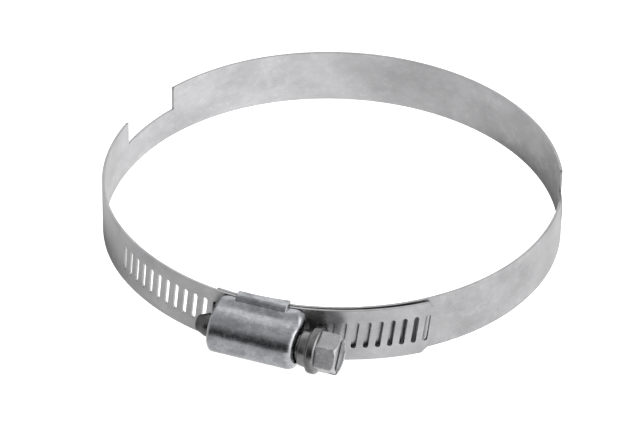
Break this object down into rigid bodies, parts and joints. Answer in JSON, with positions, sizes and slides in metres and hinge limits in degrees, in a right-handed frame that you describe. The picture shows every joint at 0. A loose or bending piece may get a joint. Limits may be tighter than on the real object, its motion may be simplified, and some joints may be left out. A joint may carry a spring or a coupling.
{
  "type": "worm-drive pipe clamp",
  "caption": "Slotted steel band clamp with a stamped housing and a hex-head worm screw that tightens the band round a pipe or hose.",
  "frame": {"origin": "centre of the ring that seats on the pipe, half way up the band's width", "axes": "+Z along the ring's axis (the pipe's axis); the screw lies on the -Y side of the ring with its axis along X and its hex head towards +X"},
  "size_m": [0.1013, 0.1105, 0.0146],
  "materials": {
    "band_steel": "satin rolled strip, lightly mottled",
    "housing_steel": "satin, softly polished by tumbling",
    "screw_steel": "cold-headed, semi-bright"
  },
  "bodies": {
    "clamp_base": {"housing": "housing_steel", "band_captive_end": "band_steel"},
    "screw": {"worm_screw": "screw_steel"},
    "slotted_band": {"band_slotted": "band_steel"},
    "link_01": {"band_link_01": "band_steel"},
    "link_02": {"band_link_02": "band_steel"},
    "link_03": {"band_link_03": "band_steel"},
    "link_04": {"band_link_04": "band_steel"},
    "link_05": {"band_link_05": "band_steel"},
    "link_06": {"band_link_06": "band_steel"},
    "link_07": {"band_link_07": "band_steel"},
    "link_08": {"band_link_08": "band_steel"}
  },
  "joints": [
    {"name": "band_slide", "type": "hinge", "parent": "clamp_base", "child": "slotted_band", "pos_m": [0.00048, 0.00194, 0], "axis": [0, 0, 1], "range_deg": [-22, 27.4]},
    {"name": "screw_turn", "type": "hinge", "parent": "clamp_base", "child": "screw", "pos_m": [0, -0.0546, 0], "axis": [-1, 0, 0], "range_deg": [-2850, 3549]},
    {"name": "band_flex_01", "type": "hinge", "parent": "clamp_base", "child": "link_01", "pos_m": [0.01884, -0.04664, 0], "axis": [0, 0, 1], "range_deg": [-6.28, 7.77]},
    {"name": "band_flex_02", "type": "hinge", "parent": "link_01", "child": "link_02", "pos_m": [0.04302, -0.02606, 0], "axis": [0, 0, 1], "range_deg": [-2.14, 2.62]},
    {"name": "band_flex_03", "type": "hinge", "parent": "link_02", "child": "link_03", "pos_m": [0.05006, 0.00489, 0], "axis": [0, 0, 1], "range_deg": [-13.08, 10.54]},
    {"name": "band_flex_04", "type": "hinge", "parent": "link_03", "child": "link_04", "pos_m": [0.03716, 0.0339, 0], "axis": [0, 0, 1], "range_deg": [-11.24, 13.95]},
    {"name": "band_flex_08", "type": "hinge", "parent": "slotted_band", "child": "link_08", "pos_m": [-0.03536, -0.03704, 0], "axis": [0, 0, 1], "range_deg": [-15.57, 12.54]},
    {"name": "band_flex_07", "type": "hinge", "parent": "link_08", "child": "link_07", "pos_m": [-0.04997, -0.0084, 0], "axis": [0, 0, 1], "range_deg": [-4.06, 5.01]},
    {"name": "band_flex_06", "type": "hinge", "parent": "link_07", "child": "link_06", "pos_m": [-0.04472, 0.02303, 0], "axis": [0, 0, 1], "range_deg": [-12, 14.89]},
    {"name": "band_flex_05", "type": "hinge", "parent": "link_06", "child": "link_05", "pos_m": [-0.02201, 0.04523, 0], "axis": [0, 0, 1], "range_deg": [-20.79, 16.73]}
  ],
  "couplings": [
    {"joint": "screw_turn", "follows": "band_slide", "ratio": 129.48},
    {"joint": "band_flex_01", "follows": "band_slide", "ratio": 0.27635},
    {"joint": "band_flex_02", "follows": "band_slide", "ratio": 0.088356},
    {"joint": "band_flex_03", "follows": "band_slide", "ratio": -0.46999},
    {"joint": "band_flex_04", "follows": "band_slide", "ratio": 0.50165},
    {"joint": "band_flex_08", "follows": "band_slide", "ratio": -0.56108},
    {"joint": "band_flex_07", "follows": "band_slide", "ratio": 0.17556},
    {"joint": "band_flex_06", "follows": "band_slide", "ratio": 0.53615},
    {"joint": "band_flex_05", "follows": "band_slide", "ratio": -0.75139}
  ]
}
